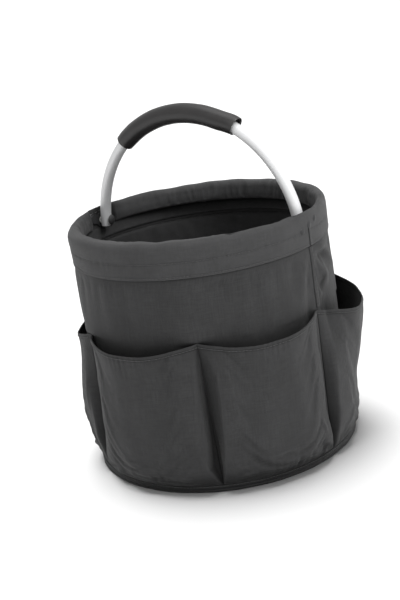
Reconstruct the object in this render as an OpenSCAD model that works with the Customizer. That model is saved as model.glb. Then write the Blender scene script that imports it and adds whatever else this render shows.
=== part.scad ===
// Soft cleaning caddy: a round fabric bucket on a stiff base, with a padded hoop rim, six outside
// pockets and an arched tube handle that swings on two rim brackets.
// Origin: centre of the underside. +Z up. The handle feet lie on the X axis, and -Y is the front.

/* [Bucket] */
// Height of the rim above the floor
rim_h = 304; // [260:1:330]
// Outer radius of the rim band
rim_r = 158.6; // [158.6:0.1:160]
// Outer radius of the bucket wall where it meets the base
wall_foot_r = 162; // [160:0.5:164]
// Depth of the doubled rim band
band_h = 42; // [38:1:50]
// Depth of the padded roll at the top of the band
roll_h = 26; // [26:1:28]

/* [Pockets] */
// Number of pockets round the bucket
pocket_count = 6; // [6:1:6]
// Height of the pocket mouths where they are sewn to the wall
pocket_h = 184; // [150:1:200]
// Width of the tape on the pocket mouths
tape_w = 7; // [5:0.5:12]

/* [Handle] */
// Radius of the handle's arch, to the middle of the tube
arch_r = 146.5; // [146:0.1:146.6]
// Outside diameter of the handle tube
tube_d = 14; // [12:1:14]
// Wall thickness of the handle tube
tube_wall = 1; // [0.8:0.1:1.5]
// Outside diameter of the foam grip
grip_d = 24; // [20:1:24]
// Half of the angle that the grip covers
grip_half_angle = 35; // [30:0.5:40]
// How far round the arch the grip has slid towards the left foot, in degrees
grip_slide = 4.5; // [-6:0.5:6]

/* [Base] */
// Outer radius of the edge binding
base_r = 165.2; // [164:0.1:168]
// Height of the edge binding
binding_h = 9; // [6:0.5:12]
// Thickness of the stiff base board
board_t = 3; // [2:0.5:4]

/* [Hidden] */
$fn = 96;
cloth = 1.2;           // thickness of the outer fabric
lining_t = 0.8;        // thickness of the lining
gap = 0.2;             // air between layers that only touch
pivot_drop = 17;       // handle pivot below the rim top
centre_drop = 29;      // centre of the arch below the rim top
pivot_z = rim_h - pivot_drop;
arch_z = rim_h - centre_drop;
pivot_x = sqrt(pow(arch_r, 2) - pow(pivot_z - arch_z, 2));
band_z = rim_h - band_h;
roll_z = rim_h - roll_h;

// Opening of the rim: two equal circles set apart in Y, so the roll is thick at the front and back
// and thin at the two handle feet.
lens_shift = 18;
lens_r = sqrt(pow(rim_r - 4.15, 2) + pow(lens_shift, 2));
inside_r = 120;        // any radius well inside the opening, to start rim cuts from

// Handle feet
tail = 7;              // tube left below the pivot
plug_cap = 1.5;        // thickness of the plug's outer cap
plug_depth = 22;       // how far the plug reaches into the tube
pin_r = 3;
pin_clear = 0.05;      // running clearance of the pivot
pin_head_r = 6.5;
pin_head_h = 2.6;
pin_dome_r = 4.6;      // closed end of the pin, outside the band
dome_h = 1.8;
dome_gap = 0.05;       // air between a dome and the band under it
washer_r = 4.5;
washer_t = 0.5;
washer_play = 0.1;     // air between a washer and the part behind it
washer_room = 1;       // air between the inner washer and the middle of the curved tube

// Pivot bracket: a strip that follows the hoop, with the pivot in the middle and a rivet at each end
plate_in = 154;
plate_out = 155.8;
plate_end_r = 6.2;
plate_mid_r = 9.5;
rivet_deg = 5.2;       // each rivet's angle from the pivot
rivet_rise = 4;        // one rivet sits this much higher than the pivot, the other as much lower
rivet_r = 2;
rivet_head_r = 4.2;
hole_slack = 0.02;
window_w = 42;
window_h = 26;

// Hoop inside the rim
hoop_in = rim_r - 2.6;
hoop_out = rim_r - 1.4;
hoop_w = 19;
hoop_z = rim_h - 5.2 - hoop_w;
hoop_back = 90;        // the angle at which the hoop's two ends meet
hoop_gap_deg = 2;      // left between the ends
joiner_deg = 6;        // half of the joiner's length
joiner_t = 0.8;

// Base
cover_t = 1.2;
board_r = wall_foot_r - 5;
board_z = cover_t + gap;
floor_z = board_z + board_t + gap;
floor_t = 1;

// How far each pocket stands off the wall at its mouth and at its belly, and how far the middle of
// its mouth hangs below its sewn ends, counted from +X. A used caddy holds these: the first pocket
// gapes, and the fourth one bellies out low down.
pocket_deg = 360 / pocket_count;
mouth_out = [31, 17, 16, 8, 17, 18];
mouth_sag = [15, 7, 8, 12, 6, 6];
belly_out = [15, 18, 18, 17, 18, 19];
belly_z = 62;
foot_out = 1.2;
pocket_foot_z = binding_h + gap;
pocket_side_gap = 0.2; // degrees left between a pocket and its seam line
pocket_columns = 16;
pocket_rows = 8;
tape_t = 0.7;

// ---- shared shapes ----

function wall_r(z) = wall_foot_r + (rim_r - 1.4 - wall_foot_r) * min(z, band_z) / band_z;

module ring(r_out, r_in, z0, z1) {
    rotate_extrude()
        translate([r_in, z0]) square([r_out - r_in, z1 - z0]);
}

module left_side() {
    rotate([0, 0, 180]) children();
}

// Half space in front of (side = -1) or behind (side = 1) the seam plane
module half(side) {
    translate([-200, side > 0 ? gap / 2 : -200 - gap / 2, -10]) cube([400, 200, 400]);
}

// A cone-shaped fabric shell that follows the wall, sunk inwards by inset
module wall_shell(inset, t, z0, z1) {
    rotate_extrude()
        polygon([
            [wall_r(z0) - inset, z0], [wall_r(z1) - inset, z1],
            [wall_r(z1) - inset - t, z1], [wall_r(z0) - inset - t, z0]
        ]);
}

// ---- base ----

module base_cover() {
    color("#2b2b2c") cylinder(r = wall_foot_r, h = cover_t);
}

module base_board() {
    color("#6d6a66") translate([0, 0, board_z]) cylinder(r = board_r, h = board_t);
}

module base_lining() {
    color("#333334") translate([0, 0, floor_z]) cylinder(r = board_r, h = floor_t);
}

module base_binding() {
    edge = 2.2;
    r_in = wall_foot_r + gap;
    color("#222223") rotate_extrude()
        union() {
            translate([r_in, 0]) square([base_r - r_in - edge / 2, binding_h]);
            translate([r_in, edge / 2]) square([base_r - r_in, binding_h - edge]);
            for (z = [edge / 2, binding_h - edge / 2])
                translate([base_r - edge / 2, z]) circle(r = edge / 2);
        }
}

// ---- wall ----

module wall_half(side) {
    color("#3a3a3b") intersection() {
        union() {
            wall_shell(0, cloth, board_z, band_z);
            ring(rim_r - 1.4, rim_r - 1.4 - cloth, band_z - 0.01, roll_z - 2);
        }
        half(side);
    }
}

module lining_half(side) {
    z0 = floor_z + floor_t + gap;
    color("#303031") intersection() {
        wall_shell(cloth + gap, lining_t, z0, band_z - gap);
        half(side);
    }
}

// Flat felled seam tape that covers the join of the two wall panels, above the pockets
module side_seam() {
    seam_w = 7;
    color("#333334") intersection() {
        wall_shell(-0.1 - cloth / 2, cloth / 2, pocket_h + 3, band_z - gap);
        translate([100, -seam_w / 2, 0]) cube([100, seam_w, rim_h]);
    }
}

// ---- pockets ----

// Height of a pocket's mouth, where u runs from -1 to 1 across the pocket
function mouth_z(i, u) = pocket_h - mouth_sag[i] * (1 - u * u);

// Distance of the pocket cloth from the wall along the middle of the pocket
function pocket_out(i, z) =
    let (mouth = mouth_z(i, 0))
    z < belly_z
        ? foot_out + (belly_out[i] - foot_out) * sin(90 * (z - pocket_foot_z) / (belly_z - pocket_foot_z))
        : let (rise = min((z - belly_z) / (mouth - belly_z), 1))
            belly_out[i] + (mouth_out[i] - belly_out[i]) * (1 - cos(180 * rise)) / 2;

// The cloth stands full across the pocket and drops to the wall near its two sewn sides
function fullness(u) = 1 - pow(abs(u), 3);

// One point of the cloth, shift outside its inner face; v runs from 0 at the foot to 1 at the mouth
function pocket_point(i, u, v, shift) =
    let (
        angle = (i + 0.5) * pocket_deg + u * (pocket_deg / 2 - pocket_side_gap),
        z = pocket_foot_z + (mouth_z(i, u) - pocket_foot_z) * v,
        z_mid = pocket_foot_z + (mouth_z(i, 0) - pocket_foot_z) * v,
        r = wall_r(z) + gap + pocket_out(i, z_mid) * fullness(u) + shift
    )
    [r * cos(angle), r * sin(angle), z];

// A sheet of cloth of thickness t over the given rows of a pocket
module pocket_sheet(i, shift, t, rows) {
    n = pocket_columns + 1;
    last = len(rows) - 1;
    side = n * len(rows);
    points = [
        for (s = [shift + t, shift], v = rows, k = [0 : pocket_columns])
            pocket_point(i, 2 * k / pocket_columns - 1, v, s)
    ];
    // Two triangles for each four corners, given clockwise as seen from outside the sheet
    outer_face = [
        for (j = [0 : last - 1], k = [0 : n - 2])
            [j * n + k, (j + 1) * n + k, (j + 1) * n + k + 1, j * n + k + 1]
    ];
    inner_face = [for (q = outer_face) [side + q[3], side + q[2], side + q[1], side + q[0]]];
    foot_edge = [for (k = [0 : n - 2]) [k, k + 1, side + k + 1, side + k]];
    mouth_edge = [for (q = foot_edge) [last * n + q[3], last * n + q[2], last * n + q[1], last * n + q[0]]];
    start_edge = [for (j = [0 : last - 1]) [j * n, side + j * n, side + (j + 1) * n, (j + 1) * n]];
    end_edge = [for (q = start_edge) [n - 1 + q[3], n - 1 + q[2], n - 1 + q[1], n - 1 + q[0]]];
    quads = concat(outer_face, inner_face, foot_edge, mouth_edge, start_edge, end_edge);
    polyhedron(points, [for (q = quads, f = [[q[0], q[1], q[2]], [q[0], q[2], q[3]]]) f]);
}

// The tape covers the last row of the cloth
tape_row = 1 - tape_w / (pocket_h - pocket_foot_z);

module pocket(i) {
    color("#39393a") pocket_sheet(i, 0, cloth, [for (j = [0 : pocket_rows]) tape_row * j / pocket_rows, 1]);
}

module pocket_tape(i) {
    color("#2f2f30") pocket_sheet(i, cloth + 0.1, tape_t, [tape_row, 1]);
}

// ---- rim ----

// The rim opening, made bigger or smaller by grow
module lens(grow, z0, z1) {
    intersection_for (s = [-1, 1])
        translate([0, s * lens_shift, z0]) cylinder(r = lens_r + grow, h = z1 - z0);
}

module bracket_window() {
    for (a = [0, 180]) rotate([0, 0, a])
        translate([inside_r, -window_w / 2, pivot_z - window_h / 2])
            cube([hoop_in - inside_r, window_w, window_h]);
}

// Placed on both sides: the pivot in the middle of a bracket, and the rivets at its two ends
module at_pivots() {
    for (a = [0, 180]) rotate([0, 0, a])
        translate([0, 0, pivot_z]) rotate([0, 90, 0]) children();
}

module at_rivets() {
    for (s = [-1, 1]) rotate([0, 0, s * rivet_deg])
        translate([0, 0, pivot_z + s * rivet_rise]) rotate([0, 90, 0]) children();
}

module bracket_holes() {
    depth = 50;
    at_pivots() translate([0, 0, inside_r]) cylinder(r = pin_r + hole_slack, h = depth);
    for (a = [0, 180]) rotate([0, 0, a])
        at_rivets() translate([0, 0, inside_r]) cylinder(r = rivet_r + hole_slack, h = depth);
}

// A low dome, flat side at z = 0
module dome(r, h) {
    ball = (r * r + h * h) / (2 * h);
    intersection() {
        cylinder(r = r, h = h);
        translate([0, 0, h - ball]) sphere(r = ball);
    }
}

// The padded roll with its rounded outer top edge, sunk by inset on every side. The hoop and the
// padding fill the hollow that is left when a sunk roll is taken from the full one.
module roll(inset) {
    round_r = 6;
    difference() {
        rotate_extrude() union() {
            translate([inside_r, roll_z + inset])
                square([rim_r - round_r - inside_r, roll_h - 2 * inset]);
            translate([inside_r, roll_z + inset])
                square([rim_r - inset - inside_r, roll_h - inset - round_r]);
            translate([rim_r - round_r, rim_h - round_r]) circle(r = round_r - inset);
        }
        lens(inset, roll_z - 1, rim_h + 1);
    }
}

module rim_band() {
    inner_ply = 2.8;       // the inner ply of the band lies this far in, with the wall between
    color("#3d3d3e") difference() {
        union() {
            roll(0);
            ring(rim_r, rim_r - cloth, band_z, roll_z + 1);
            ring(rim_r - inner_ply, rim_r - inner_ply - cloth, band_z, roll_z + 1);
        }
        roll(cloth);
        bracket_window();
        bracket_holes();
    }
}

module rim_hoop() {
    color("#9a9c9e") difference() {
        rotate([0, 0, hoop_back + hoop_gap_deg / 2]) rotate_extrude(angle = 360 - hoop_gap_deg)
            translate([hoop_in, hoop_z]) square([hoop_out - hoop_in, hoop_w]);
        bracket_holes();
    }
}

// Channel that slips over both hoop ends from inside
module hoop_joiner() {
    slack = 0.05;
    lip = 0.5;
    color("#84868a") rotate([0, 0, hoop_back - joiner_deg]) rotate_extrude(angle = 2 * joiner_deg)
        difference() {
            translate([hoop_in - slack - joiner_t, hoop_z - lip])
                square([hoop_out - hoop_in + slack + joiner_t, hoop_w + 2 * lip]);
            translate([hoop_in - slack, hoop_z - slack])
                square([hoop_out - hoop_in + 1, hoop_w + 2 * slack]);
        }
}

// Foam roll between the hoop and the inner cloth, left out round the brackets
module rim_padding(side) {
    keep = window_w / 2 + 2;
    top_room = 3;
    color("#55565a") intersection() {
        difference() {
            translate([0, 0, roll_z + cloth + gap])
                cylinder(r = hoop_in - joiner_t - 0.5, h = roll_h - 2 * cloth - top_room);
            lens(cloth + gap, roll_z - 1, rim_h + 1);
        }
        translate([-200, side > 0 ? keep : -200 - keep, 0]) cube([400, 200, 400]);
    }
}

module bracket_outline() {
    end = [plate_in * sin(rivet_deg), rivet_rise];
    union() {
        circle(r = plate_mid_r);
        for (s = [-1, 1]) translate(s * end) circle(r = plate_end_r);
        rotate(atan2(end[1], end[0])) square([2 * norm(end), 2 * plate_end_r], center = true);
    }
}

module pivot_bracket() {
    color("#1d1d1e") difference() {
        intersection() {
            rotate([0, 0, -10]) rotate_extrude(angle = 20)
                translate([plate_in, pivot_z - 20]) square([plate_out - plate_in, 40]);
            translate([inside_r, 0, pivot_z]) rotate([90, 0, 90]) linear_extrude(50) bracket_outline();
        }
        bracket_holes();
    }
}

module bracket_rivets() {
    color("#2a2a2b") at_rivets() union() {
        translate([0, 0, plate_in]) cylinder(r = rivet_r, h = rim_r + 1 - plate_in);
        translate([0, 0, rim_r + dome_gap]) dome(rivet_head_r, dome_h);
    }
}

module pivot_pin() {
    under_head = pivot_x - tube_d / 2 - washer_room - washer_t - washer_play;
    color("#c4c6c8") translate([0, 0, pivot_z]) rotate([0, 90, 0]) union() {
        translate([0, 0, under_head - 1]) cylinder(r = pin_r, h = rim_r + 2 - under_head);
        translate([0, 0, under_head]) mirror([0, 0, 1]) dome(pin_head_r, pin_head_h);
        translate([0, 0, rim_r + dome_gap]) dome(pin_dome_r, dome_h);
    }
}

// One washer each side of the tube; the outer one is trapped against the bracket
module pivot_washers() {
    inner = pivot_x - tube_d / 2 - washer_room - washer_t;
    outer = plate_in - washer_play - washer_t;
    color("#e6e6e2") for (x = [inner, outer])
        translate([x, 0, pivot_z]) rotate([0, 90, 0]) difference() {
            cylinder(r = washer_r, h = washer_t);
            translate([0, 0, -1]) cylinder(r = pin_r + pin_clear, h = washer_t + 2);
        }
}

// ---- handle ----

// Part of the arch, from angle a0 to a1 counted from the right foot's side
module arch(r_out, r_in, a0, a1) {
    translate([0, 0, arch_z]) rotate([90, 0, 0]) rotate([0, 0, a0]) rotate_extrude(angle = a1 - a0)
        translate([arch_r, 0]) difference() {
            circle(r = r_out);
            if (r_in > 0) circle(r = r_in);
        }
}

tube_start = asin((pivot_z - arch_z - tail) / arch_r);

module pivot_bore() {
    translate([-200, 0, pivot_z]) rotate([0, 90, 0]) cylinder(r = pin_r + pin_clear, h = 400);
}

module handle_tube() {
    color("#d9dadb") difference() {
        arch(tube_d / 2, tube_d / 2 - tube_wall, tube_start, 180 - tube_start);
        pivot_bore();
    }
}

// Foam sleeve, bored wider for a short way in from each end
module grip_sleeve() {
    lip_deg = 3;
    lip_r = grip_d / 2 - 2.2;
    a0 = 90 + grip_slide - grip_half_angle;
    a1 = 90 + grip_slide + grip_half_angle;
    color("#2c2b2b") difference() {
        arch(grip_d / 2, 0, a0, a1);
        arch(tube_d / 2 + 0.05, 0, a0 - 1, a1 + 1);
        arch(lip_r, 0, a0 - 1, a0 + lip_deg);
        arch(lip_r, 0, a1 - lip_deg, a1 + 1);
    }
}

// Nylon plug that fills a tube end round the pivot
module foot_plug() {
    deg_per_mm = 180 / (PI * arch_r);
    color("#1f1f20") difference() {
        union() {
            arch(tube_d / 2 - tube_wall - 0.03, 0, tube_start - plug_cap / 2 * deg_per_mm,
                 tube_start + plug_depth * deg_per_mm);
            arch(tube_d / 2 - 0.2, 0, tube_start - plug_cap * deg_per_mm, tube_start - 0.02 * deg_per_mm);
        }
        pivot_bore();
    }
}

// ---- what is drawn ----

base_cover();
base_board();
base_lining();
base_binding();
wall_half(-1);  // wall_front
wall_half(1);  // wall_rear
lining_half(-1);  // lining_front
lining_half(1);  // lining_rear
side_seam();  // side_seam_right
left_side() side_seam();  // side_seam_left
for (i = [0 : pocket_count - 1]) {
    pocket(i);
    pocket_tape(i);
}
rim_band();
rim_hoop();
hoop_joiner();
rim_padding(-1);  // rim_padding_front
rim_padding(1);  // rim_padding_rear
pivot_bracket();  // pivot_bracket_right
left_side() pivot_bracket();  // pivot_bracket_left
bracket_rivets();  // bracket_rivets_right
left_side() bracket_rivets();  // bracket_rivets_left
pivot_pin();  // pivot_pin_right
left_side() pivot_pin();  // pivot_pin_left
pivot_washers();  // pivot_washers_right
left_side() pivot_washers();  // pivot_washers_left
handle_tube();
grip_sleeve();
foot_plug();  // foot_plug_right
left_side() foot_plug();  // foot_plug_left
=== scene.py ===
"""Soft cleaning caddy: cloth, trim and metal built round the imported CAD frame.

Lengths are in millimetres while a shape is worked out, and go to metres when its mesh is made.
Angles are counted round the bucket from +X, as the CAD counts its pockets.
"""

import math

import bpy
import numpy as np
from mathutils import Matrix, Vector, noise


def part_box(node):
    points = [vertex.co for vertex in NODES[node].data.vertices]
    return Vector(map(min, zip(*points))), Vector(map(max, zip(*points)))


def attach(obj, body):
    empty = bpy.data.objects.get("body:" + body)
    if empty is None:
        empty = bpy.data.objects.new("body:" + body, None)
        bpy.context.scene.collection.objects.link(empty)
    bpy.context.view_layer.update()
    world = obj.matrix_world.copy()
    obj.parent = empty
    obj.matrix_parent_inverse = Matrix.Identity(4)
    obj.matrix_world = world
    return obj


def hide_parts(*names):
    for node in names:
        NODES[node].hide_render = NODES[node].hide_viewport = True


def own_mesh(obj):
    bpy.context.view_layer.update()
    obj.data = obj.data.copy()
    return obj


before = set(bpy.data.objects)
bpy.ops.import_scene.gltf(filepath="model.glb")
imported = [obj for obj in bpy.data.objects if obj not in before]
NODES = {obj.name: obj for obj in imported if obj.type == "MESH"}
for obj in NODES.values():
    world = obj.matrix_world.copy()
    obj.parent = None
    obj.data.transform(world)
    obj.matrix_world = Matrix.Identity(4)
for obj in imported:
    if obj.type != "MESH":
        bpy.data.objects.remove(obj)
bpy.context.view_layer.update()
MM = 0.001


# ---- sizes taken from the frame ----

def low(node):
    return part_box(node)[0] / MM


def high(node):
    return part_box(node)[1] / MM


RIM_TOP = high("rim_band").z
RIM_R = high("rim_band").x
BAND_Z = low("rim_band").z
WALL_TOP = high("wall_front").z
SLOT_TOP = WALL_TOP + 1.4  # underside of the roll, just above the wall's top edge
BASE_R = high("base_binding").x
BINDING_H = high("base_binding").z
WALL_FOOT_R = high("base_cover").x
WALL_FOOT_Z = low("wall_front").z
FLOOR_Z = high("base_lining").z
FLOOR_R = high("base_lining").x
POCKET_FOOT_Z = low("pocket_1").z
POCKET_TOP_Z = high("pocket_1").z
POCKET_COUNT = sum(n.startswith("pocket_") and n[7:].isdigit() for n in NODES)
POCKET_DEG = 360 / POCKET_COUNT
SEAM_Z = low("side_seam_right").z
CLOTH, LINING = 1.2, 0.8  # thicknesses
GAP = 0.2  # air between sewn pieces
WALL_IN = 1.4  # how far the wall lies inside the band's outer face


def wall_r(z):
    """Outside of the bucket wall, a cone up to the rim band and upright inside it."""
    foot, top = WALL_FOOT_R, RIM_R - WALL_IN
    return foot + (top - foot) * np.minimum(z, BAND_Z) / BAND_Z


# ---- small helpers ----

def ease(x):
    x = np.clip(x, 0.0, 1.0)
    return x * x * (3 - 2 * x)


def bump(x, width):
    """A smooth hill of height 1 at x = 0 that is gone at |x| = width."""
    return ease(1 - np.abs(x) / width)


def polar(angle, r, z):
    """Points in millimetres from an angle in degrees, a radius and a height."""
    angle, r, z = np.broadcast_arrays(angle, r, z)
    a = np.radians(angle)
    return np.stack([r * np.cos(a), r * np.sin(a), z], -1)


def outward(angle):
    """Level unit vectors away from the bucket's axis, at angles in degrees."""
    return polar(angle, 1.0, 0.0)


def field(points, size, seed):
    """Smooth noise of about -1..1 at each point, with features of about the given size in millimetres: one
    number, or one for each axis."""
    flat = points.reshape(-1, 3) / size + seed * 17.3  # each seed reads another part of the noise
    return np.array([noise.noise(Vector(p)) for p in flat]).reshape(points.shape[:-1]) * 1.6


def along(p, axis):
    """Distance along a grid of points in the direction of an axis, in millimetres."""
    step = np.linalg.norm(np.diff(p, axis=axis), axis=-1)
    total = np.cumsum(step, axis=axis)
    zero = np.zeros_like(np.take(total, [0], axis=axis))
    return np.concatenate([zero, total], axis=axis)


def add_object(name, verts, faces, uv=None):
    """A mesh object from points or a grid of them, with a cloth coordinate for each, all in millimetres."""
    mesh = bpy.data.meshes.new(name)
    mesh.from_pydata((np.asarray(verts, float).reshape(-1, 3) * MM).tolist(), [], faces)
    mesh.polygons.foreach_set("use_smooth", [True] * len(mesh.polygons))
    if uv is not None:
        loops = np.zeros(len(mesh.loops), int)
        mesh.loops.foreach_get("vertex_index", loops)
        layer = mesh.uv_layers.new(name="cloth")
        layer.data.foreach_set("uv", (np.asarray(uv, float).reshape(-1, 2)[loops] * MM).ravel())
    mesh.update()
    obj = bpy.data.objects.new(name, mesh)
    bpy.context.scene.collection.objects.link(obj)
    return obj


def grid_faces(rows, cols, closed_u=False, closed_v=False, offset=0, flip=False):
    """Quads between the points of a grid, which closed_u and closed_v wrap round."""
    faces = []
    for j in range(rows if closed_v else rows - 1):
        for i in range(cols if closed_u else cols - 1):
            a, b = j * cols + i, j * cols + (i + 1) % cols
            c, d = (j + 1) % rows * cols + (i + 1) % cols, (j + 1) % rows * cols + i
            quad = (a, b, c, d)
            faces.append(tuple(offset + k for k in (reversed(quad) if flip else quad)))
    return faces


def tube_grid(name, p, angles, radius):
    """A closed surface from a grid that wraps round both ways, its columns at the given angles. Faces on the
    seam of the cloth coordinates get coordinates that run on past it."""
    rows, cols = p.shape[:2]
    obj = add_object(name, p, grid_faces(rows, cols, True, True))
    mesh = obj.data
    index = np.zeros(len(mesh.loops), int)
    mesh.loops.foreach_get("vertex_index", index)
    starts = np.zeros(len(mesh.polygons), int)
    mesh.polygons.foreach_get("loop_start", starts)
    height = along(p, 0)[:, 0]
    u, v = np.radians(angles)[index % cols] * radius, height[index // cols]
    for at, turn in ((u, 2 * math.pi * radius), (v, height[-1] * 1.5)):
        for k in range(1, 4):
            far = np.abs(at[starts + k] - at[starts]) > turn / 2
            at[(starts + k)[far]] += turn * np.sign(at[starts] - at[starts + k])[far]
    layer = mesh.uv_layers.new(name="cloth")
    layer.data.foreach_set("uv", np.stack([u, v], -1).ravel() * MM)
    return obj


def sheet(name, p, thickness=CLOTH):
    """A cloth sheet through a grid of points, given a thickness evenly to both sides."""
    uv = np.stack([along(p, 1), along(p, 0)], -1)
    obj = add_object(name, p, grid_faces(*p.shape[:2]), uv)
    thicken(obj, thickness)
    return obj


def thicken(obj, thickness):
    solid = obj.modifiers.new("thickness", "SOLIDIFY")
    solid.thickness = thickness * MM
    solid.offset = 0
    solid.use_even_offset = False


def place(obj, body, slot, *replaced, squash=False, finish=None):
    """Fixes a finished piece to its body, hides the CAD nodes it stands for and gives it the material of its
    slot, or of finish where that isn't the slot's own."""
    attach(obj, body)
    if replaced:
        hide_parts(*replaced)
    if squash:
        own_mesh(obj)
    obj.data.materials.append(MATERIALS[finish or slot])


STITCH_PITCH, STITCH_LENGTH, THREAD_R = 4.0, 2.9, 0.34


def stitches(name, path, out, body, squash=False, closed=False):
    """A row of thread stitches along a path, each a short rounded bar that dips into the cloth at its ends.
    out holds the direction away from the cloth at each point of the path."""
    path, out = np.asarray(path, float), np.asarray(out, float)
    if closed:
        path, out = np.vstack([path, path[:1]]), np.vstack([out, out[:1]])
    s = np.r_[0, np.cumsum(np.linalg.norm(np.diff(path, axis=0), axis=1))]
    count = max(int(s[-1] / STITCH_PITCH), 1)
    centre = (np.arange(count) + 0.5) * s[-1] / count

    def at(t, data):
        return np.stack([np.interp(t, s, data[:, k]) for k in range(3)], -1)

    ring_at = np.array([-0.5, -0.42, -0.2, 0.2, 0.42, 0.5])
    ring_r = np.array([0.25, 0.8, 1.0, 1.0, 0.8, 0.25]) * THREAD_R
    ring_h = np.array([-0.6, 0.05, 0.45, 0.45, 0.05, -0.6]) * THREAD_R
    sides = 6
    turn = np.arange(sides) * 2 * math.pi / sides
    verts, faces = [], []
    for c in centre:
        up = at(c, out)
        ahead = at(min(c + 0.5, s[-1]), path) - at(max(c - 0.5, 0), path)
        ahead /= max(np.linalg.norm(ahead), 1e-9)
        up = up - ahead * (up @ ahead)
        up /= np.linalg.norm(up)
        side = np.cross(ahead, up)
        base = len(verts)
        for k, r, h in zip(ring_at, ring_r, ring_h):
            hub = at(np.clip(c + k * STITCH_LENGTH, 0, s[-1]), path) + up * h
            for t in turn:
                verts.append(hub + (side * math.cos(t) + up * math.sin(t)) * r)
        faces += grid_faces(len(ring_at), sides, True, offset=base)
        last = base + (len(ring_at) - 1) * sides
        faces += [tuple(base + k for k in reversed(range(sides))), tuple(last + k for k in range(sides))]
    place(add_object(name, verts, faces), body, "trim_tape", squash=squash, finish="thread")


# ---- materials ----

MATERIALS = {}


class Graph:
    """Short calls for building one material's nodes. The material is then found by name in MATERIALS."""

    def __init__(self, name):
        self.material = MATERIALS[name] = bpy.data.materials.new(name)
        self.material.use_nodes = True
        self.tree = self.material.node_tree
        self.shader = self.tree.nodes["Principled BSDF"]

    def node(self, kind, **settings):
        n = self.tree.nodes.new(kind)
        for key, value in settings.items():
            setattr(n, key, value)
        return n

    def link(self, source, target):
        self.tree.links.new(source, target)

    def feed(self, target, value):
        if isinstance(value, bpy.types.NodeSocket):
            self.link(value, target)
        else:
            target.default_value = value

    def math(self, operation, a, b=0.0):
        n = self.node("ShaderNodeMath", operation=operation)
        self.feed(n.inputs[0], a)
        self.feed(n.inputs[1], b)
        return n.outputs[0]

    def noise(self, vector, scale, detail=3.0, roughness=0.5):
        n = self.node("ShaderNodeTexNoise")
        n.inputs["Scale"].default_value = scale
        n.inputs["Detail"].default_value = detail
        n.inputs["Roughness"].default_value = roughness
        self.link(vector, n.inputs["Vector"])
        return n.outputs["Fac"]

    def product(self, first, *others):
        for other in others:
            first = self.math("MULTIPLY", first, other)
        return first

    def spread(self, value, *limits):
        """A value moved from the first two limits to the last two."""
        n = self.node("ShaderNodeMapRange")
        for k, limit in zip(("From Min", "From Max", "To Min", "To Max"), limits):
            n.inputs[k].default_value = limit
        self.link(value, n.inputs["Value"])
        return n.outputs["Result"]

    def vary(self, noise, low_value, high_value):
        """The middle of a noise moved to the two limits."""
        return self.spread(noise, 0.3, 0.7, low_value, high_value)

    def tint(self, colour, factor):
        """A colour times a number."""
        n = self.node("ShaderNodeVectorMath", operation="SCALE")
        n.inputs[0].default_value = colour[:3]
        self.feed(n.inputs["Scale"], factor)
        return n.outputs[0]

    def bump(self, height, distance, strength=1.0, under=None):
        n = self.node("ShaderNodeBump")
        n.inputs["Strength"].default_value = strength
        n.inputs["Distance"].default_value = distance * MM
        self.link(height, n.inputs["Height"])
        if under is not None:
            self.link(under, n.inputs["Normal"])
        return n.outputs["Normal"]

    def set(self, **values):
        for key, value in values.items():
            self.feed(self.shader.inputs[key.replace("_", " ")], value)


def scaled(graph, vector, x, y, z=1.0):
    n = graph.node("ShaderNodeMapping")
    n.inputs["Scale"].default_value = (x, y, z)
    graph.link(vector, n.inputs["Vector"])
    return n.outputs[0]


def cloth_material(name, colour, pitch=0.9, sheen=0.25, roughness=0.82, slub=0.22, relief=0.16):
    """Plain-weave cloth: threads over and under, uneven yarns, a soft mottle, sharp fold edges made lighter
    (part wear, part painted highlight) and painted shade darkening hollow folds, valleys and corners. pitch
    is the distance between threads and relief their height; slub is how much the yarns' tone varies."""
    g = Graph(name)
    uv = g.node("ShaderNodeUVMap", uv_map="cloth").outputs[0]
    split = g.node("ShaderNodeSeparateXYZ")
    g.link(uv, split.inputs[0])
    step = math.pi / (pitch * MM)
    sin_u = g.math("SINE", g.math("MULTIPLY", split.outputs[0], step))
    sin_v = g.math("SINE", g.math("MULTIPLY", split.outputs[1], step))
    over = g.math("GREATER_THAN", g.math("MULTIPLY", sin_u, sin_v), 0.0)
    mix = g.node("ShaderNodeMix", data_type="FLOAT")
    g.link(over, mix.inputs["Factor"])
    g.link(g.math("ABSOLUTE", sin_u), mix.inputs[2])
    g.link(g.math("ABSOLUTE", sin_v), mix.inputs[3])
    weave = mix.outputs[0]
    yarn_u = g.noise(scaled(g, uv, 750, 45), 1.0, 3.0, 0.6)
    yarn_v = g.noise(scaled(g, uv, 45, 750), 1.0, 3.0, 0.6)
    yarns = g.math("ADD", yarn_u, yarn_v)
    cloud = g.noise(scaled(g, uv, 28, 28), 1.0, 4.0, 0.6)
    grime = g.noise(scaled(g, uv, 190, 190), 1.0, 3.0, 0.6)
    # Sharp fold edges lighter, part wear and part painted highlight; hollow folds darker, painted shade.
    convexity = g.node("ShaderNodeNewGeometry").outputs["Pointiness"]
    # Painted shade: ambient occlusion darkens the base colour in folds, valleys and corners.
    painted_shade = g.node("ShaderNodeAmbientOcclusion", samples=6)
    painted_shade.inputs["Distance"].default_value = 30 * MM
    factor = g.product(
        g.spread(yarns, 0.7, 1.3, 1 - slub, 1 + slub), g.spread(weave, 0.0, 1.0, 0.72, 1.1),
        g.vary(cloud, 0.84, 1.16), g.vary(grime, 0.95, 1.05), g.spread(convexity, 0.46, 0.56, 0.86, 1.22),
        g.math("POWER", g.math("MAXIMUM", painted_shade.outputs["AO"], 0.15), 2.2))
    creases = g.noise(scaled(g, uv, 90, 90), 1.0, 4.0, 0.55)
    under = g.bump(creases, 0.5, 0.35)
    under = g.bump(yarns, 0.12, 0.5, under)
    g.set(
        Base_Color=g.tint(colour, factor),
        Roughness=g.vary(cloud, roughness - 0.06, roughness + 0.06),
        Sheen_Weight=sheen,
        Sheen_Roughness=0.45,
        Specular_IOR_Level=0.28,
        Normal=g.bump(weave, relief, 0.7, under),
    )


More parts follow.
